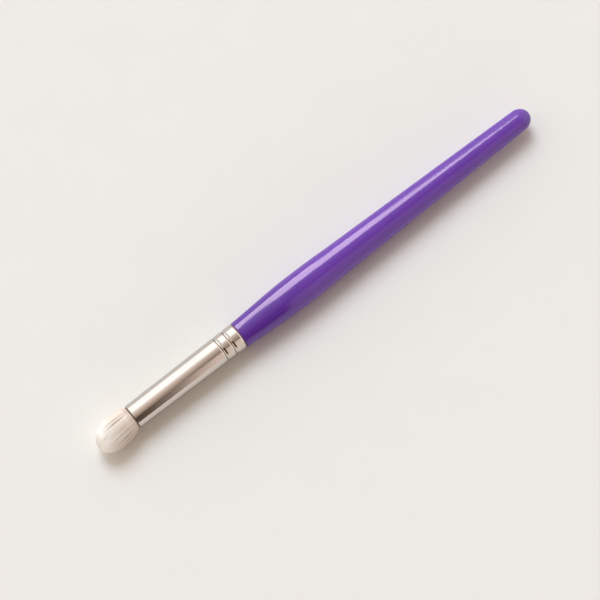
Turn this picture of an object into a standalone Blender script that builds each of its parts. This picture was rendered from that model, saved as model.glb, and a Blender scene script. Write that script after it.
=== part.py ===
"""A smudger brush: a turned and lacquered handle, a crimped metal ferrule and a domed tuft of hair.

Every piece is drawn upright on one axis, tail down and hair up, from one datum: the edge of the
ferrule on the handle's side. The whole brush is then laid along X, with its hair towards -X.
"""

import math

import bmesh
import bpy
from mathutils import Vector

MM = 0.001

# Fits and roundness
FIT_GAP = 0.25 * MM
TURN_STEPS = 32
MERGE_DISTANCE = 0.001 * MM
HALF_FACET = math.pi / TURN_STEPS

# Ferrule, a tapered tube with two rolled crimps over the tenon
FERRULE_LENGTH = 37.1 * MM
FERRULE_END_DIAMETER = 8.05 * MM
FERRULE_MOUTH_DIAMETER = 7.36 * MM
FERRULE_WALL = 0.3 * MM
FERRULE_RIM_ROUND = 0.12 * MM
RIM_LIMIT_SHARE = 0.4
CRIMP_FROM_END = 3.15 * MM
CRIMP_SPACING = 3.05 * MM
CRIMP_WIDTH = 1.3 * MM
CRIMP_DEPTH = 0.25 * MM
CRIMP_ACROSS_SHARES = (-0.5, -0.4, -0.28, 0.28, 0.4, 0.5)
CRIMP_DEPTH_SHARES = (0, 0.62, 1, 1, 0.62, 0)

# Handle, from the ferrule's edge to the tail
HANDLE_LENGTH = 104.8 * MM
SHOULDER_ROUND = 0.15 * MM
NECK_LENGTH = 20.2 * MM
NECK_FLARE_SHARE = 0.85
BELLY_DIAMETER = 9.88 * MM
BELLY_LAND = 4.0 * MM
BELLY_FALL = 12.0 * MM
TAPER_DIAMETER = 9.28 * MM
TAIL_DIAMETER = 6.5 * MM
TAIL_ROUND = 3.7 * MM

# Tenon, the bare end of the handle inside the ferrule
TENON_LAND = 0.8 * MM
TENON_NOSE = 1.8 * MM
TENON_CHAMFER = 0.6 * MM
RELIEF_LENGTH = 4.0 * MM
RELIEF_DEPTH = 0.7 * MM

# Thread that binds the root of the tuft
THREAD_DIAMETER = 0.35 * MM
THREAD_SPACE = 0.46 * MM
THREAD_CLEARANCE = 0.15 * MM
THREAD_TURNS = 4
LOOP_POINTS = 24

# Root of the tuft, where the hair is bound and set
ROOT_DEPTH = 1.0 * MM
ROOT_FACE_LAND = 0.8 * MM
ROOT_BACK_LAND = 1.0 * MM
WAIST_FLARE = 0.3 * MM

# Resin that holds the root in the ferrule
RESIN_LENGTH = 5.0 * MM
RESIN_HOLLOW = 1.1 * MM

# Hair ahead of the ferrule's mouth
HAIR_COUNT = 380
HAIR_LENGTH = 12.6 * MM
HEAD_DIAMETER = 9.05 * MM
HEAD_BELLY_HEIGHT = 6.4 * MM
FLARE_HEIGHT = 1.4 * MM
HAIR_CLEARANCE = 0.2 * MM
HAIR_SET = 0.4 * MM
HAIR_POINT = 2.4 * MM
POINT_LIMIT_SHARE = 0.65
HAIR_WIDTH_SHARE = 0.4
ROOT_SPREAD_SHARE = 0.8
OUTER_HAIR_SHARE = 0.74
RIM_HAIR_SHARE = 0.55
DOME_FULLNESS = 2.5
DOME_HALVINGS = 24
HAIR_SIDES = 3
GOLDEN_ANGLE = math.pi * (3 - math.sqrt(5))

# Heights on the axis, from the datum
SHOULDER = -FIT_GAP
TAIL = SHOULDER - HANDLE_LENGTH
MOUTH = FERRULE_LENGTH
HAIR_TIP = MOUTH + HAIR_LENGTH
CRIMP_HEIGHTS = (CRIMP_FROM_END + CRIMP_SPACING, CRIMP_FROM_END)
BORE_CRIMP_WIDTH = CRIMP_WIDTH + FERRULE_WALL
TENON_CRIMP_WIDTH = BORE_CRIMP_WIDTH + 2 * FIT_GAP
RELIEF_BOTTOM = CRIMP_HEIGHTS[0] + TENON_CRIMP_WIDTH / 2 + TENON_LAND
RELIEF_TOP = RELIEF_BOTTOM + RELIEF_LENGTH
TENON_TOP = RELIEF_TOP + TENON_NOSE
THREAD_PITCH = THREAD_DIAMETER + THREAD_SPACE
THREAD_LENGTH = THREAD_TURNS * THREAD_PITCH
WAIST_LENGTH = THREAD_LENGTH + THREAD_DIAMETER + 2 * THREAD_CLEARANCE
ROOT_FACE = MOUTH - ROOT_DEPTH
WAIST_TOP = ROOT_FACE - ROOT_FACE_LAND - WAIST_FLARE
WAIST_BOTTOM = WAIST_TOP - WAIST_LENGTH
ROOT_BACK = WAIST_BOTTOM - WAIST_FLARE - ROOT_BACK_LAND
RESIN_TOP = ROOT_BACK - FIT_GAP
RESIN_BOTTOM = RESIN_TOP - RESIN_LENGTH


def plain_ferrule(height):
    """Outer radius of the ferrule, crimps left out."""
    end = FERRULE_END_DIAMETER / 2
    return end + (FERRULE_MOUTH_DIAMETER / 2 - end) * height / FERRULE_LENGTH


def bore(height):
    """Radius of the ferrule's bore, crimps left out."""
    return plain_ferrule(height) - FERRULE_WALL


def in_bore(height):
    """Radius of a piece that sits in the bore with the fit gap round it."""
    return bore(height) - FIT_GAP


# The thread lies in the root's waist and reaches no further out than the root itself.
WAIST_RADIUS = in_bore(ROOT_FACE) - THREAD_DIAMETER - THREAD_CLEARANCE
WINDING_RADIUS = WAIST_RADIUS + THREAD_CLEARANCE + THREAD_DIAMETER / 2

# How far the outermost hair stands off the axis: a hair's half width grows with this spread.
WIDTH_PER_SPREAD = HAIR_WIDTH_SHARE * math.sqrt(math.pi / HAIR_COUNT)
HAIR_FOOT = ROOT_DEPTH + HAIR_SET
MOUTH_SPREAD = (bore(MOUTH) - HAIR_CLEARANCE) / (1 + WIDTH_PER_SPREAD)
FOOT_SPREAD = ROOT_SPREAD_SHARE * MOUTH_SPREAD
FLARE_SPREAD = MOUTH_SPREAD + (MOUTH_SPREAD - FOOT_SPREAD) * FLARE_HEIGHT / HAIR_FOOT
BELLY_SPREAD = HEAD_DIAMETER / 2 / (1 + WIDTH_PER_SPREAD)
DOME_LENGTH = HAIR_LENGTH - HEAD_BELLY_HEIGHT


def arc(radius, height, across, along, start, end, steps):
    """Points on an elliptic arc about (radius, height), with angles in degrees from the outer side."""
    points = []
    for step in range(steps + 1):
        angle = math.radians(start + (end - start) * step / steps)
        points.append((radius + across * math.cos(angle), height + along * math.sin(angle)))
    return points


def eased(top, bottom, top_slope, bottom_slope, steps):
    """Points between two (radius, height) points, down a curve with the given slopes at its ends."""
    points = []
    length = top[1] - bottom[1]
    for step in range(1, steps):
        share = step / steps
        rest = 1 - share
        radius = (1 + 2 * share) * rest**2 * top[0] + (1 + 2 * rest) * share**2 * bottom[0]
        radius += share * rest * length * (rest * top_slope - share * bottom_slope)
        points.append((radius, top[1] - share * length))
    return points


def crimp(centre, width, radius_at):
    """Points down one rolled crimp in a wall that has the given radius at each height."""
    points = []
    for across, depth in zip(CRIMP_ACROSS_SHARES, CRIMP_DEPTH_SHARES):
        height = centre - across * width
        points.append((radius_at(height) - depth * CRIMP_DEPTH, height))
    return points


def tenon_profile():
    """The bare tenon, from the middle of its nose down to the shoulder."""
    nose = in_bore(TENON_TOP)
    points = [(0, TENON_TOP), (nose - TENON_CHAMFER, TENON_TOP), (nose, TENON_TOP - TENON_CHAMFER)]
    for height, depth in (
        (RELIEF_TOP, 0),
        (RELIEF_TOP, RELIEF_DEPTH),
        (RELIEF_BOTTOM, RELIEF_DEPTH),
        (RELIEF_BOTTOM, 0),
    ):
        points.append((in_bore(height) - depth, height))
    for centre in CRIMP_HEIGHTS:
        points += crimp(centre, TENON_CRIMP_WIDTH, in_bore)
    points.append((in_bore(SHOULDER), SHOULDER))
    return points


def handle_profile():
    """The whole handle: tenon, shoulder, neck, belly, long taper and rounded tail."""
    neck = FERRULE_END_DIAMETER / 2
    belly = BELLY_DIAMETER / 2
    taper = TAPER_DIAMETER / 2
    tail = TAIL_DIAMETER / 2
    neck_top = (neck, SHOULDER - SHOULDER_ROUND)
    land_top = (belly, SHOULDER - NECK_LENGTH)
    land_bottom = (belly, land_top[1] - BELLY_LAND)
    taper_top = (taper, land_bottom[1] - BELLY_FALL)
    tail_top = (tail, TAIL + TAIL_ROUND)
    neck_slope = NECK_FLARE_SHARE * (belly - neck) / NECK_LENGTH
    taper_slope = (tail - taper) / (taper_top[1] - tail_top[1])
    points = tenon_profile()
    points += arc(neck - SHOULDER_ROUND, neck_top[1], SHOULDER_ROUND, SHOULDER_ROUND, 90, 0, 3)
    points += eased(neck_top, land_top, neck_slope, 0, 8)
    points += [land_top, land_bottom]
    points += eased(land_bottom, taper_top, 0, taper_slope, 6)
    points.append(taper_top)
    points += arc(0, tail_top[1], tail, TAIL_ROUND, 0, -90, 8)
    return points


def ferrule_profile():
    """The tube's wall, down its outside from the mouth and back up its bore."""
    rim = min(FERRULE_RIM_ROUND, RIM_LIMIT_SHARE * FERRULE_WALL)
    points = arc(plain_ferrule(MOUTH) - rim, MOUTH - rim, rim, rim, 90, 0, 3)
    for centre in CRIMP_HEIGHTS:
        points += crimp(centre, CRIMP_WIDTH, plain_ferrule)
    points += arc(plain_ferrule(0) - rim, rim, rim, rim, 0, -90, 3)
    points += arc(bore(0) + rim, rim, rim, rim, -90, -180, 3)
    for centre in reversed(CRIMP_HEIGHTS):
        points += reversed(crimp(centre, BORE_CRIMP_WIDTH, bore))
    points += arc(bore(MOUTH) + rim, MOUTH - rim, rim, rim, 180, 90, 3)
    return points


def handle_glue_profile():
    """The collar of glue that fills the tenon's relief."""
    top = RELIEF_TOP - FIT_GAP
    bottom = RELIEF_BOTTOM + FIT_GAP
    thickness = RELIEF_DEPTH - FIT_GAP
    return [
        (in_bore(top), top),
        (in_bore(bottom), bottom),
        (in_bore(bottom) - thickness, bottom),
        (in_bore(top) - thickness, top),
    ]


def resin_profile():
    """The plug of resin behind the root, hollow at its back where it crept up the wall."""
    points = [(0, RESIN_TOP), (in_bore(RESIN_TOP), RESIN_TOP)]
    points += arc(0, RESIN_BOTTOM, in_bore(RESIN_BOTTOM), RESIN_HOLLOW, 0, 90, 6)
    return points


def root_profile():
    """The bound and set root of the tuft, with a waist for the thread."""
    return [
        (0, ROOT_FACE),
        (in_bore(ROOT_FACE), ROOT_FACE),
        (in_bore(ROOT_FACE), WAIST_TOP + WAIST_FLARE),
        (WAIST_RADIUS, WAIST_TOP),
        (WAIST_RADIUS, WAIST_BOTTOM),
        (in_bore(ROOT_FACE), WAIST_BOTTOM - WAIST_FLARE),
        (in_bore(ROOT_FACE), ROOT_BACK),
        (0, ROOT_BACK),
    ]


def dome(share):
    """Radius of the tuft's dome, as a share of its belly, at a share of the dome's length."""
    return (1 - share**DOME_FULLNESS) ** (1 / DOME_FULLNESS)


def leaning(share):
    """How far the hair still spreads there: it bends in to meet the dome at the rim hair's end."""
    return 1 - (1 - dome(RIM_HAIR_SHARE)) * (share / RIM_HAIR_SHARE) ** 2


def end_share(rank):
    """Where on the dome's length a hair ends that stands at this share of the spread."""
    low = RIM_HAIR_SHARE
    high = 1
    for _ in range(DOME_HALVINGS):
        middle = (low + high) / 2
        if rank * leaning(middle) < dome(middle):
            low = middle
        else:
            high = middle
    return low


def hair_path(rank):
    """Stations (height above the mouth, spread of the tuft there) from a hair's foot to its point."""
    reach = DOME_LENGTH * end_share(rank)
    point = min(HAIR_POINT, POINT_LIMIT_SHARE * reach)
    path = [(-HAIR_FOOT, FOOT_SPREAD)]
    if rank > OUTER_HAIR_SHARE:
        path += [(FLARE_HEIGHT, FLARE_SPREAD), (HEAD_BELLY_HEIGHT, BELLY_SPREAD)]
    for past_belly in (reach - point, reach):
        spread = BELLY_SPREAD * leaning(past_belly / DOME_LENGTH)
        path.append((HEAD_BELLY_HEIGHT + past_belly, spread))
    return path


def add_hair(mesh, rank, angle):
    """One tapered hair of three sides, with an edge outwards, closed at its foot and at its point."""
    outward = Vector((math.cos(angle), math.sin(angle), 0))
    rings = []
    path = hair_path(rank)
    for height, spread in path[:-1]:
        centre = rank * spread * outward + Vector((0, 0, MOUTH + height))
        ring = []
        for side in range(HAIR_SIDES):
            turn = angle + side * math.tau / HAIR_SIDES
            reach = spread * WIDTH_PER_SPREAD
            ring.append(mesh.verts.new(centre + reach * Vector((math.cos(turn), math.sin(turn), 0))))
        rings.append(ring)
    height, spread = path[-1]
    point = mesh.verts.new(rank * spread * outward + Vector((0, 0, MOUTH + height)))
    mesh.faces.new(reversed(rings[0]))
    for side in range(HAIR_SIDES):
        after = (side + 1) % HAIR_SIDES
        for lower, upper in zip(rings, rings[1:]):
            mesh.faces.new((lower[side], lower[after], upper[after], upper[side]))
        mesh.faces.new((rings[-1][side], rings[-1][after], point))


def hair_mesh():
    """All the hairs, set out like the seeds of a sunflower, so that none crosses another."""
    mesh = bmesh.new()
    for index in range(HAIR_COUNT):
        add_hair(mesh, math.sqrt((index + 0.5) / HAIR_COUNT), index * GOLDEN_ANGLE)
    data = bpy.data.meshes.new("hairs")
    mesh.to_mesh(data)
    mesh.free()
    return data


def thread_points():
    """The thread's centre line, wound up the waist."""
    points = []
    start = WAIST_BOTTOM + THREAD_CLEARANCE + THREAD_DIAMETER / 2
    count = THREAD_TURNS * LOOP_POINTS
    for index in range(count + 1):
        angle = math.tau * index / LOOP_POINTS
        height = start + THREAD_LENGTH * index / count
        points.append((WINDING_RADIUS * math.cos(angle), WINDING_RADIUS * math.sin(angle), height))
    return points


def least_gap(points):
    """The thread's least clear distance to its own next turns."""
    nearest = THREAD_LENGTH
    for index, point in enumerate(points):
        for other in points[index + LOOP_POINTS // 2 :]:
            nearest = min(nearest, math.dist(point, other))
    return nearest - THREAD_DIAMETER


def thread_curve():
    """The binding thread as one round wire along its winding."""
    points = thread_points()
    print(f"binding_thread: least gap to itself {least_gap(points) / MM:.3f} mm")
    curve = bpy.data.curves.new("binding_thread", "CURVE")
    curve.dimensions = "3D"
    curve.bevel_depth = THREAD_DIAMETER / 2
    curve.bevel_resolution = 1
    curve.use_fill_caps = True
    spline = curve.splines.new("POLY")
    spline.points.add(len(points) - 1)
    for knot, point in zip(spline.points, points):
        knot.co = (*point, 1)
    return curve


def finish(name, colour, roughness, metallic):
    """A plain Principled material."""
    material = bpy.data.materials.new(name)
    material.use_nodes = True
    shader = material.node_tree.nodes["Principled BSDF"]
    shader.inputs["Base Color"].default_value = (*colour, 1)
    shader.inputs["Roughness"].default_value = roughness
    shader.inputs["Metallic"].default_value = metallic
    return material


def add_collection(name):
    """A collection in the scene."""
    collection = bpy.data.collections.new(name)
    bpy.context.scene.collection.children.link(collection)
    return collection


def add_object(name, data, material, collection, axis):
    """A named object on the brush's axis, with one material."""
    data.materials.append(material)
    piece = bpy.data.objects.new(name, data)
    piece.parent = axis
    collection.objects.link(piece)
    return piece


def add_turned(name, profile, closed, material, collection, axis):
    """A piece turned from a profile, with the middle of one facet straight below the axis."""
    edges = [(index, index + 1) for index in range(len(profile) - 1)]
    if closed:
        edges.append((len(profile) - 1, 0))
    outline = bpy.data.meshes.new(name)
    outline.from_pydata([(radius, 0, height) for radius, height in profile], edges, [])
    piece = add_object(name, outline, material, collection, axis)
    piece.rotation_euler.z = HALF_FACET
    screw = piece.modifiers.new("turn", "SCREW")
    screw.steps = TURN_STEPS
    screw.render_steps = TURN_STEPS
    screw.use_merge_vertices = True
    screw.merge_threshold = MERGE_DISTANCE
    screw.use_smooth_shade = True
    return piece


def add_tuft(collection, cutters, axis):
    """The root with all its hairs set in its flat face as one body."""
    hair = finish("cream hair", (0.84, 0.76, 0.68), 0.6, 0)
    tuft = add_turned("bristle_tuft", root_profile(), False, hair, collection, axis)
    flat = tuft.modifiers.new("flat face", "DECIMATE")
    flat.decimate_type = "DISSOLVE"
    hairs = add_object("hairs", hair_mesh(), hair, cutters, axis)
    hairs.hide_render = True
    hairs.display_type = "WIRE"
    join = tuft.modifiers.new("set the hairs", "BOOLEAN")
    join.operation = "UNION"
    join.solver = "EXACT"
    join.object = hairs


def lay_down(axis):
    """Lay the upright brush along X, hair towards -X, touching the floor and centred over it."""
    belly = BELLY_DIAMETER / 2 * math.cos(HALF_FACET)
    axis.location = ((HAIR_TIP + TAIL) / 2, 0, max(belly, HEAD_DIAMETER / 2))
    axis.rotation_euler.y = -math.pi / 2


def build():
    """The whole brush."""
    for item in list(bpy.data.objects):
        bpy.data.objects.remove(item)
    pieces = add_collection("smudger_brush")
    cutters = add_collection("cutters")
    axis = bpy.data.objects.new("brush_axis", None)
    pieces.objects.link(axis)
    lay_down(axis)
    lacquer = finish("purple lacquer", (0.13, 0.047, 0.31), 0.15, 0)
    nickel = finish("nickel plate", (0.72, 0.67, 0.62), 0.22, 1)
    glue = finish("wood glue", (0.66, 0.53, 0.32), 0.5, 0)
    resin = finish("clear resin", (0.62, 0.44, 0.2), 0.25, 0)
    cotton = finish("cotton thread", (0.78, 0.75, 0.7), 0.8, 0)
    add_turned("handle", handle_profile(), False, lacquer, pieces, axis)
    add_turned("ferrule", ferrule_profile(), True, nickel, pieces, axis)
    add_turned("handle_glue", handle_glue_profile(), True, glue, pieces, axis)
    add_turned("root_resin", resin_profile(), False, resin, pieces, axis)
    add_object("binding_thread", thread_curve(), cotton, pieces, axis)
    add_tuft(pieces, cutters, axis)


build()
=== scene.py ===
"""The looks of a smudger brush: a lacquered handle, a crimped nickel ferrule and a domed tuft of hair.

Lengths are in metres. Places along the brush are x positions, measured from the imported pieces: the
hair points to -X and the handle's tail to +X. Turned pieces are drawn about one line, the brush's axis.
Colours are linear red, green and blue.
"""

import math

import bpy
import numpy as np
from mathutils import Matrix, Vector


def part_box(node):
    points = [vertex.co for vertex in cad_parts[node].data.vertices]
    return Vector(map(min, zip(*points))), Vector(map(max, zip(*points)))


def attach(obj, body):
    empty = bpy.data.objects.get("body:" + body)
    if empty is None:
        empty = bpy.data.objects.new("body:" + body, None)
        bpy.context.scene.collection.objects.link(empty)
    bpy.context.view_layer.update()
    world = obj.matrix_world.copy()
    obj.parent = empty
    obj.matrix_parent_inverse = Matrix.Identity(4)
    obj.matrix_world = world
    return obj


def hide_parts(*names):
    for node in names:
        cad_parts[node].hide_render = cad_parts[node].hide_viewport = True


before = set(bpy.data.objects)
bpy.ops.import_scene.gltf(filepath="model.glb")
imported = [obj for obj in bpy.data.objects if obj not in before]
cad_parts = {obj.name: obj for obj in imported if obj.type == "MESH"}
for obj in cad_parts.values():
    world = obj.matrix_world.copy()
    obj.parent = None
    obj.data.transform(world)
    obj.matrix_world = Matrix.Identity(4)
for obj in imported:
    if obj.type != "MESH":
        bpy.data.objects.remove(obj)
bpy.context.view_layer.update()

MM = 0.001

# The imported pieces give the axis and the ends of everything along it
HANDLE_LOW, HANDLE_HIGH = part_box("handle")
FERRULE_LOW, FERRULE_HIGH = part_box("ferrule")
TUFT_LOW, TUFT_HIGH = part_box("bristle_tuft")
GLUE_LOW, GLUE_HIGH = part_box("handle_glue")
AXIS_Z = (HANDLE_LOW.z + HANDLE_HIGH.z) / 2
TIP_X = TUFT_LOW.x
MOUTH_X = FERRULE_LOW.x
END_X = FERRULE_HIGH.x
TENON_X = HANDLE_LOW.x
TAIL_X = HANDLE_HIGH.x

# Ferrule, a tapered tube with two rolled crimps over the tenon
FERRULE_LENGTH = END_X - MOUTH_X
FERRULE_END_DIAMETER = 8.05 * MM
FERRULE_MOUTH_DIAMETER = 7.36 * MM
FERRULE_WALL = 0.3 * MM
FIT_GAP = 0.25 * MM
CRIMP_FROM_END = 3.15 * MM
CRIMP_SPACING = 3.05 * MM
CRIMP_WIDTH = 1.3 * MM
CRIMP_DEPTH = 0.17 * MM
CRIMP_FLOOR_SHARE = 0.4
CRIMPS_X = (END_X - CRIMP_FROM_END - CRIMP_SPACING, END_X - CRIMP_FROM_END)
MOUTH_RIM = 0.13 * MM
END_RIM = (0.5 * MM, 0.2 * MM)
BORE_LIP = 0.1 * MM

# Steps round a turned piece. The ferrule's gloss is the hardest, so it has the most.
TURNED_STEPS = 160
FERRULE_STEPS = 192

# Handle. Hold is how near its ends a straight run has a point, so that the gloss stays straight.
SHOULDER_X = END_X + FIT_GAP
SHOULDER_ROUND = 0.15 * MM
NECK_LENGTH = 20.2 * MM
NECK_FLARE_SHARE = 0.85
BELLY_DIAMETER = 9.88 * MM
BELLY_LAND = 4.0 * MM
BELLY_FALL = 12.0 * MM
TAPER_DIAMETER = 9.28 * MM
TAIL_DIAMETER = 6.5 * MM
TAIL_ROUND = 3.7 * MM
TENON_CHAMFER = 0.6 * MM
RELIEF_DEPTH = 0.7 * MM
HOLD = 0.05 * MM

# Bound root of the tuft, with a waist for the thread
ROOT_DEPTH = 1.0 * MM
WAIST_DEPTH = 0.5 * MM
WAIST_FROM_FACE = 1.1 * MM
WAIST_FROM_BACK = 1.3 * MM
WAIST_FLARE = 0.3 * MM

# The tuft's outline
HEAD_DIAMETER = 9.05 * MM
HEAD_BELLY_HEIGHT = 6.4 * MM
HEAD_LEAN = 1.0 * MM
FLARE_RISE = 0.7 * MM
FLARE_HEIGHT = 0.5 * MM
FOOT_SPREAD_SHARE = 0.8
DOME_FULLNESS = 2.06
RIM_HAIR_SHARE = 0.7

# Hairs. Each has a foot in the ferrule and ends in a short point. Jitter is a share of their spacing.
HAIR_SEED = 7
HAIR_COUNT = 7000
HAIR_SIDES = 4
HAIR_STATIONS = 10
HAIR_RADIUS = 0.06 * MM
HAIR_LENGTH = MOUTH_X - TIP_X
HAIR_FOOT = 1.4 * MM
HAIR_CLEARANCE = 0.2 * MM
HAIR_JITTER = 0.3
HAIR_END_SPREAD = 0.16 * MM
HAIR_WAVE = 0.02 * MM
HAIR_SPLAY = 0.05 * MM
POINT_STATION = 0.985
POINT_LENGTHS = (0.4 * MM, 1.0 * MM)
POINT_WIDTH_SHARE = 0.88
PALE_END = 3.0 * MM
GOLDEN_ANGLE = math.pi * (3 - math.sqrt(5))

# Locks, which gather their hairs above the mouth and let them go towards the dome
LOCK_COUNT = 330
LOCK_JITTER = 0.025
LOCK_GATHER = 0.68
LOCK_RELEASE = 0.85
LOCK_TONE_SPREAD = 0.5
HAIR_TONE = 0.25
HAIR_TONE_SPREAD = 0.15


class Signal:
    """A node's output. An expression on it adds its Math nodes."""

    def __init__(self, graph, socket):
        self.graph = graph
        self.socket = socket

    def __add__(self, other):
        return self.graph.maths("ADD", self, other)

    def __sub__(self, other):
        return self.graph.maths("SUBTRACT", self, other)

    def __rsub__(self, other):
        return self.graph.maths("SUBTRACT", other, self)

    def __mul__(self, other):
        return self.graph.maths("MULTIPLY", self, other)

    __radd__ = __add__
    __rmul__ = __mul__


class Graph:
    """The nodes of one material or of the world."""

    def __init__(self, tree):
        self.tree = tree

    def node(self, kind, settings=None, sockets=None, out=0):
        """A new node: its settings first, then the values or links of its sockets."""
        node = self.tree.nodes.new("ShaderNode" + kind)
        for name, value in (settings or {}).items():
            setattr(node, name, value)
        for name, value in (sockets or {}).items():
            self.feed(node.inputs[name], value)
        return Signal(self, node.outputs[out])

    def feed(self, socket, value):
        """Link a signal to a socket, or set the socket's own value."""
        if isinstance(value, Signal):
            self.tree.links.new(value.socket, socket)
        else:
            socket.default_value = value

    def maths(self, operation, first, second):
        return self.node("Math", {"operation": operation}, {0: first, 1: second})

    def ramp(self, value, low, high):
        """0 below low, 1 above high, and an S curve between. Low may be the larger."""
        sockets = {"Value": value, "From Min": low, "From Max": high}
        return self.node("MapRange", {"interpolation_type": "SMOOTHSTEP"}, sockets)

    def mix(self, factor, first, second):
        """Colours mixed: the first where the factor is 0."""
        return self.node("Mix", {"data_type": "RGBA"}, {0: factor, 6: rgba(first), 7: rgba(second)}, out=2)

    def tones(self, pattern, low, high, pair):
        """The first colour of a pair where the pattern is at low, and the second where it is at high."""
        return self.mix(self.ramp(pattern, low, high), *pair)

    def place(self):
        """Where the surface is, in metres, in the brush's own frame."""
        return self.node("TexCoord", out="Object")

    def axis_place(self):
        """The place measured from the brush's axis."""
        return self.vector("SUBTRACT", self.place(), (0, 0, AXIS_Z))

    def vector(self, operation, first, second):
        return self.node("VectorMath", {"operation": operation}, {0: first, 1: second})

    def stretched(self, place, scale):
        """A place scaled for a pattern: the scale is in pattern cells a metre along x, y and z."""
        return self.vector("MULTIPLY", place, scale)

    def noise(self, place, detail=2.0, roughness=0.5, distortion=0.0):
        """A cloudy pattern from 0 to 1, with a cell of about one unit of place."""
        sockets = {
            "Vector": place,
            "Scale": 1.0,
            "Detail": detail,
            "Roughness": roughness,
            "Distortion": distortion,
        }
        return self.node("TexNoise", None, sockets)

    def part(self, vector, which):
        """One coordinate of a vector: 0, 1 or 2."""
        return self.node("SeparateXYZ", None, {0: vector}, which)

    def bump(self, height, distance):
        """A normal from a height signal of 0 to 1, which stands for this many metres."""
        return self.node("Bump", None, {"Height": height, "Distance": distance, "Strength": 1.0})


def rgba(colour):
    return colour if isinstance(colour, Signal) else (*colour, 1)


def surface(name, paint):
    """A material: paint adds its nodes to a graph and returns what its shader's sockets take."""
    material = bpy.data.materials.new(name)
    material.use_nodes = True
    graph = Graph(material.node_tree)
    shader = material.node_tree.nodes["Principled BSDF"]
    for socket, value in paint(graph).items():
        graph.feed(shader.inputs[socket], value)
    return material


# Finishes. The two colours of a pair are the ends of a pattern's range. A span is where a change
# along the brush starts and where it is full.
LACQUER = ((0.133, 0.037, 0.372), (0.146, 0.043, 0.392))
# Darker lacquer for the neck: painted shade and dark reflection near the ferrule
NECK_SHADED_LACQUER = ((0.1, 0.0265, 0.298), (0.109, 0.031, 0.312))
CLOUDED_LACQUER = (0.12, 0.034, 0.34)
POOLED_LACQUER = (0.085, 0.022, 0.22)
PAINTED_NECK_SHADE_SPAN = (2 * MM, -18 * MM)
POOL_SPAN = (SHOULDER_X + 1.2 * MM, SHOULDER_X)
BEECH = ((0.55, 0.38, 0.23), (0.7, 0.52, 0.34))
BEECH_RING = (0.46, 0.3, 0.17)
NICKEL = ((0.69, 0.62, 0.565), (0.665, 0.595, 0.535))
NICKEL_EDGE = (0.75, 0.85, 0.93, 1)
# A dark line painted along one wall of each crimp stands for shade and a dark reflection in the groove
PAINTED_CRIMP_SHADE = (0.14, 0.09, 0.06)
PAINTED_CRIMP_SHADE_OFFSET = 0.27 * MM
PAINTED_CRIMP_SHADE_HALF_WIDTH = 0.2 * MM
PAINTED_CRIMP_SHADE_FULL_HALF_WIDTH = 0.06 * MM
# Root and tip tones of the hair: partly its own colour, and partly painted shade near the ferrule and
# painted light at the tips
HAIR_ROOT_TO_TIP = ((0.955, 0.845, 0.77), (0.985, 0.95, 0.91))
DARK_HAIR_ROOT_TO_TIP = ((0.8, 0.63, 0.52), (0.9, 0.82, 0.74))
HAIR_STREAK = (0.98, 0.95, 0.92)
# Painted shade on the hair next to the ferrule: a soft one a little way up, and a dark line at the mouth
PAINTED_HAIR_ROOT_SHADE = (0.6, 0.44, 0.38)
PAINTED_HAIR_MOUTH_SHADE = (0.2, 0.12, 0.08)
HAIR_SPAN = (MOUTH_X - 0.1 * HAIR_LENGTH, MOUTH_X - 0.95 * HAIR_LENGTH)
PAINTED_HAIR_ROOT_SHADE_SPAN = (MOUTH_X - 2.2 * MM, MOUTH_X - 0.4 * MM)
PAINTED_HAIR_MOUTH_SHADE_SPAN = (MOUTH_X - 0.55 * MM, MOUTH_X - 0.1 * MM)
SET_HAIR = ((0.42, 0.3, 0.18), (0.66, 0.53, 0.38))
SOAKED_HAIR = (0.5, 0.34, 0.16)
COTTON = ((0.68, 0.64, 0.57), (0.84, 0.81, 0.75))
AMBER = ((0.6, 0.4, 0.16), (0.68, 0.5, 0.25))
AMBER_BUBBLE = (0.8, 0.68, 0.48)
DRIED_GLUE = ((0.6, 0.46, 0.25), (0.72, 0.6, 0.38))
BOARD = ((0.82, 0.806, 0.786), (0.828, 0.814, 0.794))


def lacquer(graph):
    """Deep purple gloss lacquer: faint grain, painted shade and reflection darkening the neck, pooled at
    the shoulder, orange peel.
    """
    place = graph.axis_place()
    along = graph.part(place, 0)
    grain = graph.noise(graph.stretched(place, (90, 2400, 2400)), 3.0)
    cloud = graph.noise(graph.stretched(place, (60, 160, 160)), 2.0)
    peel = graph.noise(graph.stretched(place, (700, 900, 900)), 1.0)
    dust = graph.noise(graph.stretched(place, (2600, 2600, 2600)), 0.0)
    body = graph.tones(grain, 0.3, 0.75, LACQUER)
    # Painted shade: the neck's lacquer is darkened for the dark reflection near the ferrule
    neck = graph.tones(grain, 0.3, 0.75, NECK_SHADED_LACQUER)
    body = graph.tones(along, *PAINTED_NECK_SHADE_SPAN, (body, neck))
    body = graph.mix(graph.ramp(cloud, 0.35, 0.7) * 0.4, body, CLOUDED_LACQUER)
    body = graph.mix(graph.ramp(along, *POOL_SPAN) * 0.35, body, POOLED_LACQUER)
    nib = graph.ramp(dust, 0.8, 0.86)
    return {
        "Base Color": body,
        "Roughness": 0.075 + graph.ramp(cloud, 0.3, 0.8) * 0.035 + nib * 0.1,
        "IOR": 1.5,
        "Normal": graph.bump(peel * 0.8 + grain * 0.12 + nib * 0.2, 0.0025 * MM),
    }


def bare_wood(graph):
    """Pale beech: rays and pores along the grain, with faint rings across it."""
    place = graph.axis_place()
    fibre = graph.noise(graph.stretched(place, (180, 3800, 3800)), 4.0)
    rings = graph.node("TexWave", {"bands_direction": "Y"}, {
        "Vector": graph.stretched(place, (20, 60, 60)),
        "Scale": 6.0,
        "Distortion": 1.5,
        "Detail": 2.0,
    }, out="Fac")
    wood = graph.tones(fibre, 0.3, 0.7, BEECH)
    wood = graph.mix(graph.ramp(rings, 0.6, 0.95) * 0.35, wood, BEECH_RING)
    return {
        "Base Color": wood,
        "Roughness": 0.55 + fibre * 0.2,
        "Normal": graph.bump(fibre, 0.02 * MM),
    }


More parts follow.
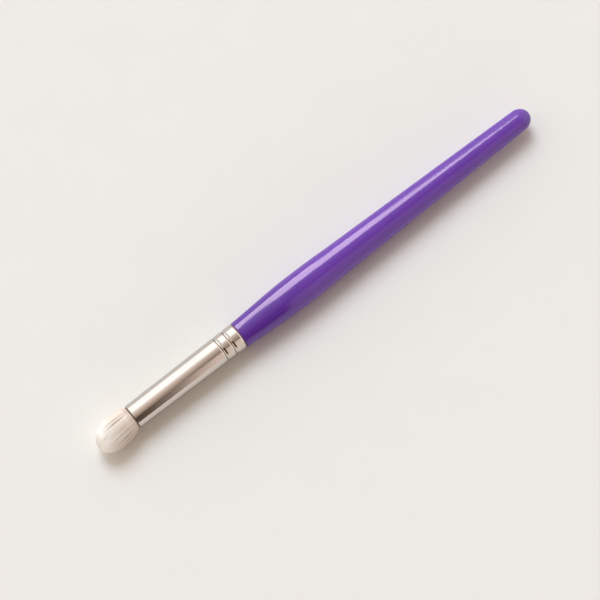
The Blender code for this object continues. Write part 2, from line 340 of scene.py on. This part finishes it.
def nickel(graph):
    """Nickel plate on drawn brass: fine lines round and along it, smudges, and a painted shade line beside
    each crimp.
    """
    place = graph.axis_place()
    along = graph.part(place, 0)
    turned = graph.noise(graph.stretched(place, (9000, 500, 500)), 2.0)
    drawn = graph.noise(graph.stretched(place, (60, 5200, 5200)), 2.0)
    smudge = graph.noise(graph.stretched(place, (180, 260, 260)), 3.0, 0.6)
    tint = graph.tones(smudge, 0.35, 0.75, NICKEL)
    # Painted shade: a dark line along one wall of each crimp, which also roughens the nickel there
    painted_crimp_shade = 0
    for centre in CRIMPS_X:
        line = centre - PAINTED_CRIMP_SHADE_OFFSET
        near = graph.ramp(along, line - PAINTED_CRIMP_SHADE_HALF_WIDTH, line - PAINTED_CRIMP_SHADE_FULL_HALF_WIDTH)
        far = graph.ramp(along, line + PAINTED_CRIMP_SHADE_HALF_WIDTH, line + PAINTED_CRIMP_SHADE_FULL_HALF_WIDTH)
        painted_crimp_shade = painted_crimp_shade + near * far
    tint = graph.mix(painted_crimp_shade * 0.85, tint, PAINTED_CRIMP_SHADE)
    return {
        "Base Color": tint,
        "Metallic": 1.0,
        "Specular Tint": NICKEL_EDGE,
        "Roughness": 0.065 + graph.ramp(smudge, 0.3, 0.75) * 0.02 + drawn * 0.015 + painted_crimp_shade * 0.15,
        "Normal": graph.bump(turned * 0.5 + drawn * 0.5, 0.0012 * MM),
    }


def hair(graph):
    """Cream hair, pinker near the ferrule and paler at its tips, partly its own colour and partly painted
    shade and light; painted shade darkens it where it leaves the ferrule.
    """
    along = graph.part(graph.place(), 0)
    tone = graph.node("Attribute", {"attribute_name": "hair_tone"}, out="Fac")
    out = graph.ramp(along, *HAIR_SPAN)
    streak = graph.noise(graph.stretched(graph.place(), (500, 9000, 9000)), 2.0)
    # Partly painted: darker towards the ferrule for shade, paler at the tips for light
    body = graph.mix(out, *HAIR_ROOT_TO_TIP)
    body = graph.mix(tone * 0.66, body, graph.mix(out, *DARK_HAIR_ROOT_TO_TIP))
    body = graph.mix(graph.ramp(streak, 0.35, 0.7) * 0.25, body, HAIR_STREAK)
    # Painted shade near the ferrule, then a dark painted shade line at the mouth
    body = graph.mix(graph.ramp(along, *PAINTED_HAIR_ROOT_SHADE_SPAN) * 0.35, body, PAINTED_HAIR_ROOT_SHADE)
    body = graph.mix(graph.ramp(along, *PAINTED_HAIR_MOUTH_SHADE_SPAN), body, PAINTED_HAIR_MOUTH_SHADE)
    return {
        "Base Color": body,
        "Roughness": 0.5 + tone * 0.15,
        "Specular IOR Level": 0.35,
    }


def set_hair(graph):
    """The bound root: hair soaked in resin, darker, with every hair still showing."""
    place = graph.axis_place()
    strand = graph.noise(graph.stretched(place, (120, 9000, 9000)), 2.0)
    soaked = graph.noise(graph.stretched(place, (700, 500, 500)), 2.0)
    body = graph.tones(strand, 0.3, 0.7, SET_HAIR)
    body = graph.mix(graph.ramp(soaked, 0.35, 0.7) * 0.5, body, SOAKED_HAIR)
    return {
        "Base Color": body,
        "Roughness": 0.35 + strand * 0.25,
        "Normal": graph.bump(strand, 0.03 * MM),
    }


def cotton(graph):
    """Undyed cotton thread, its fibres laid round the winding."""
    place = graph.axis_place()
    fibre = graph.noise(graph.stretched(place, (9000, 2600, 2600)), 3.0)
    return {
        "Base Color": graph.tones(fibre, 0.3, 0.7, COTTON),
        "Roughness": 0.75 + fibre * 0.15,
        "Normal": graph.bump(fibre, 0.02 * MM),
    }


def set_resin(graph):
    """Cured amber resin with small bubbles and a slow swirl."""
    place = graph.axis_place()
    swirl = graph.noise(graph.stretched(place, (350, 350, 350)), 3.0, 0.5, 1.2)
    cells = graph.stretched(place, (1500, 1500, 1500))
    bubble = graph.node("TexVoronoi", None, {"Vector": cells, "Scale": 1.0})
    pit = graph.ramp(bubble, 0.28, 0.16)
    body = graph.tones(swirl, 0.3, 0.7, AMBER)
    body = graph.mix(pit * 0.6, body, AMBER_BUBBLE)
    return {
        "Base Color": body,
        "Roughness": 0.18 + swirl * 0.15,
        "Normal": graph.bump(1 - pit, 0.03 * MM),
    }


def wood_glue(graph):
    """Dried yellow wood glue, slightly lumpy where it filled the turned relief."""
    place = graph.axis_place()
    lump = graph.noise(graph.stretched(place, (900, 900, 900)), 3.0)
    return {
        "Base Color": graph.tones(lump, 0.3, 0.7, DRIED_GLUE),
        "Roughness": 0.4 + lump * 0.2,
        "Normal": graph.bump(lump, 0.05 * MM),
    }


def table_paint(graph):
    """Matt off-white board with a faint mottle."""
    place = graph.place()
    mottle = graph.noise(graph.stretched(place, (60, 60, 60)), 4.0)
    tooth = graph.noise(graph.stretched(place, (700, 700, 700)), 2.0)
    return {
        "Base Color": graph.tones(mottle, 0.3, 0.7, BOARD),
        "Roughness": 0.9,
        "Specular IOR Level": 0.1,
        "Normal": graph.bump(tooth, 0.02 * MM),
    }


def smooth(value, low, high):
    """0 below low, 1 above high, and an S curve between them."""
    share = np.clip((value - low) / (high - low), 0, 1)
    return share * share * (3 - 2 * share)


def arc(x, radius, along, across, start, end, steps):
    """Points on an elliptic arc about (x, radius), with angles in degrees from the outer side to +X."""
    points = []
    for step in range(steps + 1):
        angle = math.radians(start + (end - start) * step / steps)
        points.append((x + along * math.sin(angle), radius + across * math.cos(angle)))
    return points


def straight(first, last, steps):
    """Points between two (x, radius) points, both left out."""
    points = []
    for step in range(1, steps):
        share = step / steps
        points.append((first[0] + share * (last[0] - first[0]), first[1] + share * (last[1] - first[1])))
    return points


def eased(first, last, first_slope, last_slope, steps):
    """Points between two (x, radius) points on a curve with the given slopes at its ends."""
    points = []
    length = last[0] - first[0]
    for step in range(1, steps):
        share = step / steps
        rest = 1 - share
        radius = (1 + 2 * share) * rest**2 * first[1] + (1 + 2 * rest) * share**2 * last[1]
        radius += share * rest * length * (rest * first_slope - share * last_slope)
        points.append((first[0] + share * length, radius))
    return points


def tube_radius(x):
    """Outer radius of the ferrule at x, crimps left out."""
    share = (END_X - x) / FERRULE_LENGTH
    return (FERRULE_END_DIAMETER + (FERRULE_MOUTH_DIAMETER - FERRULE_END_DIAMETER) * share) / 2


def bore_radius(x):
    return tube_radius(x) - FERRULE_WALL


def in_bore(x):
    """Radius of a piece that sits in the bore with the fit gap round it."""
    return bore_radius(x) - FIT_GAP


def rolled(centre, width, radius_at, steps=28):
    """Points along one rolled crimp: a flat floor between two rounded shoulders."""
    points = []
    for step in range(steps + 1):
        across = -1 + 2 * step / steps
        depth = CRIMP_DEPTH * (1 - float(smooth(abs(across), CRIMP_FLOOR_SHARE, 1)))
        x = centre + across * width / 2
        points.append((x, radius_at(x) - depth))
    return points


def run(radius_at, start, end, steps):
    """Points along a plain stretch of wall, one close to each end so that the gloss stays straight."""
    hold = math.copysign(HOLD, end - start)
    first = (start + hold, radius_at(start + hold))
    last = (end - hold, radius_at(end - hold))
    return [first, *straight(first, last, steps), last]


def ferrule_profile():
    """The tube's wall: along its outside from the mouth to the end, and back along its bore."""
    lip = BORE_LIP
    last = MOUTH_X + MOUTH_RIM
    points = arc(last, tube_radius(last) - lip, MOUTH_RIM, lip, -90, 0, 8)
    for centre in CRIMPS_X:
        points += run(tube_radius, last, centre - CRIMP_WIDTH / 2, 12)
        points += rolled(centre, CRIMP_WIDTH, tube_radius)
        last = centre + CRIMP_WIDTH / 2
    rim_length, rim_drop = END_RIM
    rim_start = END_X - rim_length
    points += run(tube_radius, last, rim_start, 8)
    points += arc(rim_start, tube_radius(rim_start) - rim_drop, rim_length, rim_drop, 0, 90, 10)
    points += arc(END_X - lip, bore_radius(END_X) + lip, lip, lip, 90, 180, 5)
    last = END_X - lip
    width = CRIMP_WIDTH + FERRULE_WALL
    for centre in reversed(CRIMPS_X):
        points += run(bore_radius, last, centre + width / 2, 6)
        points += reversed(rolled(centre, width, bore_radius))
        last = centre - width / 2
    points += run(bore_radius, last, MOUTH_X + lip, 8)
    points += arc(MOUTH_X + lip, bore_radius(MOUTH_X) + lip, lip, lip, 180, 270, 5)
    return points


def tenon_profile():
    """The bare tenon from the middle of its nose to the shoulder, with the relief and two grooves."""
    nose = in_bore(TENON_X)
    points = [(TENON_X, 0), (TENON_X, nose - TENON_CHAMFER), (TENON_X + TENON_CHAMFER, nose)]
    relief_start = GLUE_LOW.x - FIT_GAP
    relief_end = GLUE_HIGH.x + FIT_GAP
    for x, depth in (
        (relief_start, 0),
        (relief_start, RELIEF_DEPTH),
        (relief_end, RELIEF_DEPTH),
        (relief_end, 0),
    ):
        points.append((x, in_bore(x) - depth))
    for centre in CRIMPS_X:
        points += rolled(centre, CRIMP_WIDTH + FERRULE_WALL + 2 * FIT_GAP, in_bore)
    points.append((SHOULDER_X, in_bore(SHOULDER_X)))
    return points


def handle_outside():
    """The lacquered outside: shoulder, neck, belly, long taper and rounded tail."""
    neck = (SHOULDER_X + SHOULDER_ROUND, FERRULE_END_DIAMETER / 2)
    belly_start = (SHOULDER_X + NECK_LENGTH, BELLY_DIAMETER / 2)
    belly_end = (belly_start[0] + BELLY_LAND, BELLY_DIAMETER / 2)
    taper_start = (belly_end[0] + BELLY_FALL, TAPER_DIAMETER / 2)
    tail_start = (TAIL_X - TAIL_ROUND, TAIL_DIAMETER / 2)
    neck_slope = NECK_FLARE_SHARE * (belly_start[1] - neck[1]) / NECK_LENGTH
    taper_slope = (tail_start[1] - taper_start[1]) / (tail_start[0] - taper_start[0])
    points = arc(neck[0], neck[1] - SHOULDER_ROUND, SHOULDER_ROUND, SHOULDER_ROUND, -90, 0, 6)
    points.append((neck[0] + HOLD, neck[1] + neck_slope * HOLD))
    points += eased(neck, belly_start, neck_slope, 0, 32)
    points += [belly_start, *straight(belly_start, belly_end, 4), belly_end]
    points += eased(belly_end, taper_start, 0, taper_slope, 18)
    points += [taper_start, *straight(taper_start, tail_start, 24)]
    points.append((tail_start[0] - HOLD, tail_start[1] - taper_slope * HOLD))
    points += arc(tail_start[0], 0, TAIL_ROUND, tail_start[1], 0, 90, 24)
    return points


def root_profile():
    """The bound root, with a waist for the thread, from its face in the ferrule to its back."""
    face = MOUTH_X + ROOT_DEPTH
    back = TUFT_HIGH.x
    full = in_bore(face)
    waist = full - WAIST_DEPTH
    waist_start = face + WAIST_FROM_FACE
    waist_end = back - WAIST_FROM_BACK
    return [
        (face, 0),
        (face, full),
        (waist_start - WAIST_FLARE, full),
        (waist_start, waist),
        (waist_end, waist),
        (waist_end + WAIST_FLARE, full),
        (back, full),
        (back, 0),
    ]


def add_mesh(name, vertices, faces):
    """A smooth-shaded mesh object in the scene."""
    data = bpy.data.meshes.new(name)
    data.from_pydata(vertices, [], faces)
    data.shade_smooth()
    piece = bpy.data.objects.new(name, data)
    bpy.context.scene.collection.objects.link(piece)
    return piece


def turned(name, profile, steps=TURNED_STEPS, closed=False):
    """A closed body turned about the axis from (x, radius) points, from -X to +X on its outside."""
    angles = np.arange(steps) * math.tau / steps
    vertices = []
    rings = []
    for x, radius in profile:
        start = len(vertices)
        if radius > 1e-9:
            rings.append(list(range(start, start + steps)))
            for angle in angles:
                vertices.append((x, radius * math.sin(angle), AXIS_Z + radius * math.cos(angle)))
        else:
            rings.append([start] * steps)
            vertices.append((x, 0, AXIS_Z))
    pairs = list(zip(rings, rings[1:]))
    if closed:
        pairs.append((rings[-1], rings[0]))
    faces = []
    for near, far in pairs:
        for step in range(steps):
            after = (step + 1) % steps
            corners = (near[step], near[after], far[after], far[step])
            faces.append(tuple(dict.fromkeys(corners)))
    return add_mesh(name, vertices, faces)


def dress(piece, slot, *materials, replaces=()):
    """A finished piece: its materials, the body it rides on and what it stands for. The slot is not used.
    """
    for material in materials:
        piece.data.materials.append(material)
    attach(piece, "root")
    if replaces:
        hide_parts(*replaces)
    return piece


def sharpen(piece, degrees):
    """Keep crisp the edges that turn more than this."""
    piece.data.set_sharp_from_angle(angle=math.radians(degrees))


def make_handle():
    """The handle in one piece, with its tenon bare and its outside lacquered."""
    piece = turned("turned_handle", tenon_profile() + handle_outside())
    sharpen(piece, 40)
    coat = surface("purple_lacquer", lacquer)
    wood = surface("bare_beech", bare_wood)
    dress(piece, "lacquer", coat, wood, replaces=["handle"])
    for face in piece.data.polygons:
        face.material_index = int(face.center.x < SHOULDER_X)
    return piece


def make_ferrule():
    piece = turned("crimped_ferrule", ferrule_profile(), FERRULE_STEPS, closed=True)
    sharpen(piece, 50)
    dress(piece, "nickel_plate", surface("nickel_plate", nickel), replaces=["ferrule"])


def head_spread(height):
    """How far the outermost hair stands off the axis at a height above the mouth, up to the belly."""
    mouth = bore_radius(MOUTH_X) - HAIR_CLEARANCE
    flare = FLARE_RISE * (1 - np.exp(-np.maximum(height, 0) / FLARE_HEIGHT))
    belly = HEAD_DIAMETER / 2 - mouth - FLARE_RISE
    foot = (1 - FOOT_SPREAD_SHARE) * mouth * np.minimum(height / HAIR_FOOT, 0)
    return mouth + foot + flare + belly * smooth(height, 0, HEAD_BELLY_HEIGHT)


def dome(share):
    """Radius of the tuft's dome, as a share of its belly, at a share of the dome's length."""
    return np.maximum(1 - share**DOME_FULLNESS, 0) ** (1 / DOME_FULLNESS)


def leaning(share):
    """How far the hair still spreads there: it bends in to meet the dome at the rim hair's end."""
    return 1 - (1 - dome(np.float64(RIM_HAIR_SHARE))) * (share / RIM_HAIR_SHARE) ** 2


def end_shares(ranks):
    """Where on the dome's length hairs end that stand at these shares of the spread."""
    low = np.full(len(ranks), RIM_HAIR_SHARE)
    high = np.ones(len(ranks))
    for _ in range(24):
        middle = (low + high) / 2
        short = ranks * leaning(middle) < dome(middle)
        low = np.where(short, middle, low)
        high = np.where(short, high, middle)
    return low


def sunflower(count):
    """Points spread evenly over the unit disc."""
    index = np.arange(count)
    rank = np.sqrt((index + 0.5) / count)
    angle = index * GOLDEN_ANGLE
    return np.stack([rank * np.cos(angle), rank * np.sin(angle)], 1)


def hair_lines(random):
    """The middle lines of all the hairs, an array of (hair, station, 3).

    With them come each hair's height above the mouth, its rank from 0 at the heart to 1 at the rim,
    and the tone of its lock.
    """
    seeds = sunflower(HAIR_COUNT)
    seeds += random.normal(0, HAIR_JITTER / math.sqrt(HAIR_COUNT), seeds.shape)
    ranks = np.minimum(np.linalg.norm(seeds, axis=1), 1)
    locks = sunflower(LOCK_COUNT) + random.normal(0, LOCK_JITTER, (LOCK_COUNT, 2))
    nearest = np.linalg.norm(seeds[:, None] - locks[None], axis=2).argmin(1)
    pull = (locks[nearest] - seeds) * random.uniform(0, 1, (LOCK_COUNT, 1))[nearest]
    dome_length = HAIR_LENGTH - HEAD_BELLY_HEIGHT
    ends = HEAD_BELLY_HEIGHT + dome_length * end_shares(ranks)
    ends -= np.abs(random.normal(0, HAIR_END_SPREAD, HAIR_COUNT))
    stations = np.append(np.linspace(0, POINT_STATION, HAIR_STATIONS), 1)
    heights = -HAIR_FOOT + (ends[:, None] + HAIR_FOOT) * stations
    spread = head_spread(heights) * leaning(np.maximum(heights - HEAD_BELLY_HEIGHT, 0) / dome_length)
    share = np.maximum(heights, 0) / HAIR_LENGTH
    gather = LOCK_GATHER * smooth(share, 0.02, 0.3) * (1 - LOCK_RELEASE * smooth(share, 0.45, 0.85))
    flat = spread[:, :, None] * (seeds[:, None] + gather[:, :, None] * pull[:, None])
    wave = random.normal(0, HAIR_WAVE, (HAIR_COUNT, 1, 2)) * np.sin(share * math.pi * 2.2)[:, :, None]
    splay = random.normal(0, HAIR_SPLAY, (HAIR_COUNT, 1, 2)) * (smooth(share, 0.4, 1) ** 2)[:, :, None]
    flat = flat + wave + splay
    flat[:, :, 0] -= HEAD_LEAN * share
    lines = np.concatenate([(MOUTH_X - heights)[:, :, None], flat], 2)
    lock_tones = random.normal(0, LOCK_TONE_SPREAD, LOCK_COUNT)[nearest]
    return lines, ends, ranks, lock_tones


def hair_piece(name, lines, ends, tones, widths, random):
    """Slim hairs as one mesh, each pointed and closed, with its tone fading to nought at its end."""
    hairs, stations = lines.shape[:2]
    sides = HAIR_SIDES
    above = MOUTH_X - lines[:, :, 0]
    below_end = ends[:, None] - above
    point_length = random.uniform(*POINT_LENGTHS, (hairs, 1))
    taper = POINT_WIDTH_SHARE + (1 - POINT_WIDTH_SHARE) * smooth(below_end, 0, point_length)
    turn = random.uniform(0, math.tau, hairs)[:, None] + np.arange(sides) * math.tau / sides
    ring = np.stack([np.cos(turn), -np.sin(turn)], 2)
    radius = (widths[:, None] * taper)[:, :-1, None, None]
    across = lines[:, :-1, None, 1:] + radius * ring[:, None]
    x = np.broadcast_to(lines[:, :-1, None, :1], (hairs, stations - 1, sides, 1))
    rings = np.concatenate([x, across], 3)
    rings[..., 2] += AXIS_Z
    points = lines[:, -1].copy()
    points[:, 2] += AXIS_Z
    vertices = np.concatenate([rings.reshape(hairs, -1, 3), points[:, None]], 1)
    each = vertices.shape[1]
    first = (np.arange(hairs) * each)[:, None, None]
    side = np.arange(sides)
    after = (side + 1) % sides
    level = np.arange(stations - 2)[:, None] * sides
    quads = np.stack([level + side, level + after, level + sides + after, level + sides + side], 2)
    quads = (first + quads.reshape(-1, 4)).reshape(-1, 4)
    last = (stations - 2) * sides
    tips = np.stack([last + side, last + after, np.full(sides, each - 1)], 1)
    tips = (first + tips).reshape(-1, 3)
    feet = (first[:, 0] + side[::-1]).reshape(-1, sides)
    faces = quads.tolist() + tips.tolist() + feet.tolist()
    piece = add_mesh(name, vertices.reshape(-1, 3).tolist(), faces)
    ring_tones = tones[:, None] * smooth(below_end[:, :-1], 0, PALE_END)
    each_tone = np.append(np.repeat(ring_tones, sides, 1), np.zeros((hairs, 1)), 1)
    tone = piece.data.attributes.new("hair_tone", "FLOAT", "POINT")
    tone.data.foreach_set("value", each_tone.ravel().astype(np.float32))
    return piece


def make_tuft():
    """The tuft: its bound root, and its hairs in three layers from the heart outwards."""
    random = np.random.default_rng(HAIR_SEED)
    lines, ends, ranks, lock_tones = hair_lines(random)
    tones = np.clip(random.normal(HAIR_TONE, HAIR_TONE_SPREAD, HAIR_COUNT) + lock_tones, 0, 1)
    widths = HAIR_RADIUS * random.uniform(0.8, 1.2, HAIR_COUNT)
    cream = surface("cream_hair", hair)
    for name, low, high in (
        ("heart_hair", 0, 0.57),
        ("middle_hair", 0.57, 0.81),
        ("outer_hair", 0.81, 2),
    ):
        chosen = (ranks >= low) & (ranks < high)
        piece = hair_piece(name, lines[chosen], ends[chosen], tones[chosen], widths[chosen], random)
        dress(piece, "hair", cream, replaces=["bristle_tuft"])
    root = turned("bound_root", root_profile())
    sharpen(root, 30)
    dress(root, "hair", surface("resin_soaked_hair", set_hair), replaces=["bristle_tuft"])


def make_inner_pieces():
    """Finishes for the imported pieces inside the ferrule, whose shapes are right as they are."""
    for node, name, paint in (
        ("binding_thread", "cotton_thread", cotton),
        ("root_resin", "amber_resin", set_resin),
        ("handle_glue", "dried_wood_glue", wood_glue),
    ):
        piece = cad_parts[node]
        piece.data.materials.clear()
        piece.data.materials.append(surface(name, paint))


# Light. Directions are degrees round from +Y towards +X, and above the floor.
LAMP_DISTANCE = 10.0
KEY_PLACE = (18.0, 53.0)
KEY_SIZE = (32.0, 32.0)
KEY_RADIANCE = 7.2
KEY_COLOUR = (0.88, 1.0, 1.135)
GLEAM_PLACE = (9.9, 37.3)
GLEAM_SIZE = (44.3, 16.0)
GLEAM_TURN = -75.0
GLEAM_RADIANCE = 7.0
GLEAM_COLOUR = (1.2, 0.985, 1.01)
FLOOR_REACH = 4.0

# Room, as gloss mirrors it. Lean is in degrees from straight up towards +Y.
CEILING = ((0.24, 0.165, 0.11), (1.45, 1.3, 1.22))
CEILING_SHADE = (0.05, 0.035, 0.02)
BRIGHT_CEILING = (1.5, 1.63, 1.71)
CEILING_BEYOND_HAIR = ((0.75, 0.68, 0.62), (0.03, 0.02, 0.01))
WALL = ((0.06, 0.035, 0.02), (0.98, 0.85, 0.78))
HORIZON = (0.88, 0.845, 0.815)
TAIL_WALL = (1.3, 1.2, 1.16)

# Room, as matt surfaces see it
SOFT_CEILING = ((0.08, 0.02, 0), (1.03, 0.95, 0.81))
SOFT_WALL = (1.0, 0.87, 0.72)
WINDOW = (3.6, 3.4, 3.2)

# Camera
CAMERA_AIM = Vector((-7.758 * MM, -2.583 * MM, AXIS_Z))
CAMERA_DISTANCE = 742.14 * MM
CAMERA_TURN = 38.43
CAMERA_RISE = 75.762
CAMERA_LENS = 159.17
CAMERA_SENSOR = 36.0


def heading(way, rise):
    """The direction that many degrees round from +Y towards +X and above the floor."""
    way = math.radians(way)
    rise = math.radians(rise)
    return Vector((math.sin(way) * math.cos(rise), math.cos(way) * math.cos(rise), math.sin(rise)))


def make_softbox(name, shape, place, size, turn, radiance, colour):
    """A softbox that faces the brush, far enough off to light the whole floor alike."""
    lamp = bpy.data.lights.new(name, "AREA")
    lamp.shape = shape
    lamp.size = 2 * LAMP_DISTANCE * math.tan(math.radians(size[0] / 2))
    lamp.size_y = 2 * LAMP_DISTANCE * math.tan(math.radians(size[1] / 2))
    area = lamp.size * lamp.size_y * (math.pi / 4 if shape == "ELLIPSE" else 1)
    lamp.energy = radiance * math.pi * area
    lamp.color = colour
    light = bpy.data.objects.new(name, lamp)
    bpy.context.scene.collection.objects.link(light)
    towards = heading(*place)
    facing = (-towards).to_track_quat("-Z", "Y").to_matrix().to_4x4()
    roll = Matrix.Rotation(math.radians(turn), 4, "Z")
    light.matrix_world = Matrix.Translation(LAMP_DISTANCE * towards) @ facing @ roll
    light.visible_camera = False
    return light


def make_lamps(handle):
    """A high softbox that lights the brush, and a low one whose gleam runs along the lacquer alone."""
    key = make_softbox("key_softbox", "ELLIPSE", KEY_PLACE, KEY_SIZE, 0.0, KEY_RADIANCE, KEY_COLOUR)
    key.visible_glossy = False
    gleam = make_softbox(
        "gleam_softbox", "RECTANGLE", GLEAM_PLACE, GLEAM_SIZE, GLEAM_TURN, GLEAM_RADIANCE, GLEAM_COLOUR
    )
    gleam.visible_diffuse = False
    glossed = bpy.data.collections.new("glossed")
    glossed.objects.link(handle)
    gleam.light_linking.receiver_collection = glossed
    gleam.data.use_nodes = True
    graph = Graph(gleam.data.node_tree)
    thrown = graph.node("LightPath", out="Diffuse Depth")
    emission = gleam.data.node_tree.nodes["Emission"]
    graph.feed(emission.inputs["Strength"], graph.maths("LESS_THAN", thrown, 0.5))


def make_studio():
    """The room. Gloss mirrors its ceiling and walls, and matt surfaces see them softened."""
    world = bpy.data.worlds.new("studio")
    bpy.context.scene.world = world
    world.use_nodes = True
    graph = Graph(world.node_tree)
    direction = graph.node("TexCoord", out="Generated")
    x = graph.part(direction, 0)
    z = graph.part(direction, 2)
    lean = graph.maths("ARCTAN2", graph.part(direction, 1), z) * (180 / math.pi)
    ceiling = graph.tones(lean, -55, 55, CEILING)
    ceiling = graph.mix(graph.ramp(x, 0.055, 0.115) * 0.28, ceiling, CEILING_SHADE)
    ceiling = graph.tones(lean, 10, 35, (ceiling, BRIGHT_CEILING))
    beyond_hair = graph.tones(lean, -5, -22, CEILING_BEYOND_HAIR)
    ceiling = graph.tones(x, 0, -0.2, (ceiling, beyond_hair))
    wall = graph.tones(x, 0.07, 0.1, WALL)
    room = graph.tones(lean, -28, -40, (ceiling, wall))
    height = z - graph.ramp(lean, -20, 20) * 0.06
    horizon = graph.ramp(height, 0.1, 0.04) * graph.ramp(x, -0.15, 0.05)
    room = graph.mix(horizon, room, HORIZON)
    room = graph.tones(x, 0.3, 0.6, (room, TAIL_WALL))
    soft = graph.tones(lean, -60, 60, SOFT_CEILING)
    soft = graph.tones(z, 0.5, 0.2, (soft, SOFT_WALL))
    window = graph.ramp(x, -0.2, -0.6) * graph.ramp(z, 0.3, 0.1)
    soft = graph.mix(window, soft, WINDOW)
    thrown = graph.node("LightPath", out="Diffuse Depth")
    matt = graph.maths("GREATER_THAN", thrown, 0.5)
    background = world.node_tree.nodes["Background"]
    graph.feed(background.inputs["Color"], graph.mix(matt, room, soft))


def make_floor():
    reach = FLOOR_REACH
    low = AXIS_Z - BELLY_DIAMETER / 2
    corners = [(-reach, -reach, low), (reach, -reach, low), (reach, reach, low), (-reach, reach, low)]
    floor = add_mesh("table_top", corners, [(0, 1, 2, 3)])
    floor.data.materials.append(surface("off_white_board", table_paint))


def make_camera():
    """The photograph's view: nearly from above, with the brush rising to the right."""
    forward = heading(CAMERA_TURN, -CAMERA_RISE)
    lens = bpy.data.cameras.new("camera")
    lens.lens = CAMERA_LENS
    lens.sensor_width = CAMERA_SENSOR
    camera = bpy.data.objects.new("camera", lens)
    bpy.context.scene.collection.objects.link(camera)
    camera.location = CAMERA_AIM - forward * CAMERA_DISTANCE
    camera.rotation_euler = forward.to_track_quat("-Z", "Y").to_euler()
    bpy.context.scene.camera = camera


make_camera()
make_studio()
make_floor()
make_lamps(make_handle())
make_ferrule()
make_tuft()
make_inner_pieces()
bpy.context.scene.view_settings.view_transform = "Standard"
